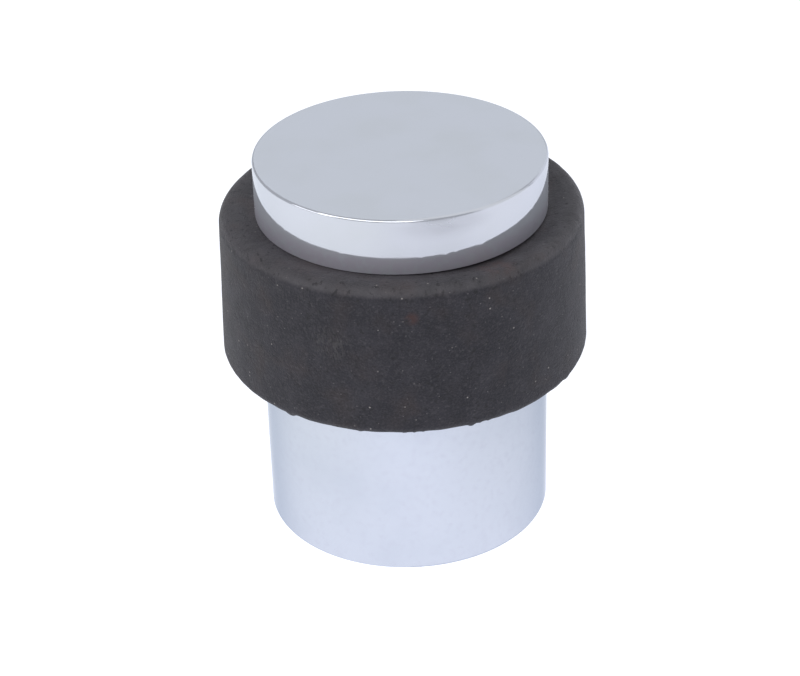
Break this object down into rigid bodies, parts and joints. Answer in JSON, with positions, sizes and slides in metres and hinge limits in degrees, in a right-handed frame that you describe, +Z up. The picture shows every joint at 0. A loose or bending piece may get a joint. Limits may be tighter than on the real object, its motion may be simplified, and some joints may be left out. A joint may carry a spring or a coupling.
{
  "type": "floor door stop",
  "caption": "Cylindrical floor-mounted door stop: polished metal foot and screw-on cap with a thick rubber ring between them, hiding a central fixing screw.",
  "frame": {"origin": "centre of the underside, on the floor plane", "axes": "+Z up along the axis of the stop, +X and +Y any two directions across it"},
  "size_m": [0.0384, 0.0384, 0.041],
  "materials": {
    "foot_chrome": "polished chrome plate on turned brass",
    "cap_chrome": "mirror-polished chrome plate on turned brass",
    "buffer_rubber": "matt moulded rubber with dust specks and a thin mould flash",
    "pad_rubber": "matt punched sheet rubber",
    "seal_rubber": "smooth moulded rubber",
    "washer_steel": "bright zinc plate",
    "screw_steel": "yellow passivated zinc plate"
  },
  "bodies": {
    "foot": {"foot_body": "foot_chrome", "base_pad": "pad_rubber"},
    "ring": {"rubber_buffer": "buffer_rubber"},
    "seal": {"o_ring": "seal_rubber"},
    "cap": {"top_cap": "cap_chrome"},
    "washer": {"screw_washer": "washer_steel"},
    "screw": {"fixing_screw": "screw_steel"}
  },
  "joints": [
    {"name": "ring_turn", "type": "hinge", "parent": "foot", "child": "ring", "pos_m": [0, 0, 0.027], "axis": [0, 0, 1], "continuous": true},
    {"name": "cap_lift", "type": "slide", "parent": "foot", "child": "seal", "axis": [0, 0, 1], "range_m": [0, 0.0045]},
    {"name": "cap_unscrew", "type": "hinge", "parent": "seal", "child": "cap", "pos_m": [0, 0, 0.0351], "axis": [0, 0, 1], "range_deg": [0, 1080]},
    {"name": "screw_feed", "type": "slide", "parent": "foot", "child": "washer", "axis": [0, 0, -1], "range_m": [0, 0.028]},
    {"name": "screw_drive", "type": "hinge", "parent": "washer", "child": "screw", "pos_m": [0, 0, 0.0353], "axis": [0, 0, -1], "range_deg": [0, 5040]}
  ],
  "couplings": [
    {"joint": "cap_lift", "follows": "cap_unscrew", "m_per_rad": 0.0002387},
    {"joint": "screw_drive", "follows": "screw_feed", "rad_per_m": 3141.6}
  ]
}
